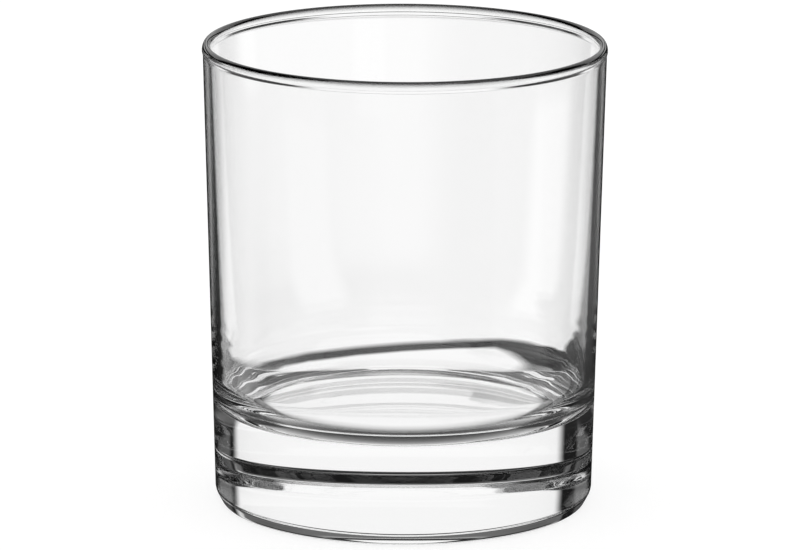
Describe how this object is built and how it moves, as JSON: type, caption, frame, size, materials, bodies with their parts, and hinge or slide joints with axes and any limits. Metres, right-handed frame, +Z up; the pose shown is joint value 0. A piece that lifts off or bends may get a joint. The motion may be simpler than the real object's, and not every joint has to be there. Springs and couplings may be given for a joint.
{
  "type": "rocks glass",
  "caption": "Heavy-based clear rocks glass with a gently tapered thin wall, a flat inside floor rounded into the wall over a thick base, a bevelled heel and a fire-polished rim.",
  "frame": {"origin": "on the glass's axis, in the plane of the ring it stands on", "axes": "+Z up the glass's axis towards the rim; X and Y are free to choose, because the glass is a body of revolution"},
  "size_m": [0.0832, 0.0832, 0.0965],
  "materials": {
    "clear_glass": "fire-polished, clear and colourless"
  },
  "bodies": {
    "root": {"tumbler": "clear_glass"}
  },
  "joints": []
}
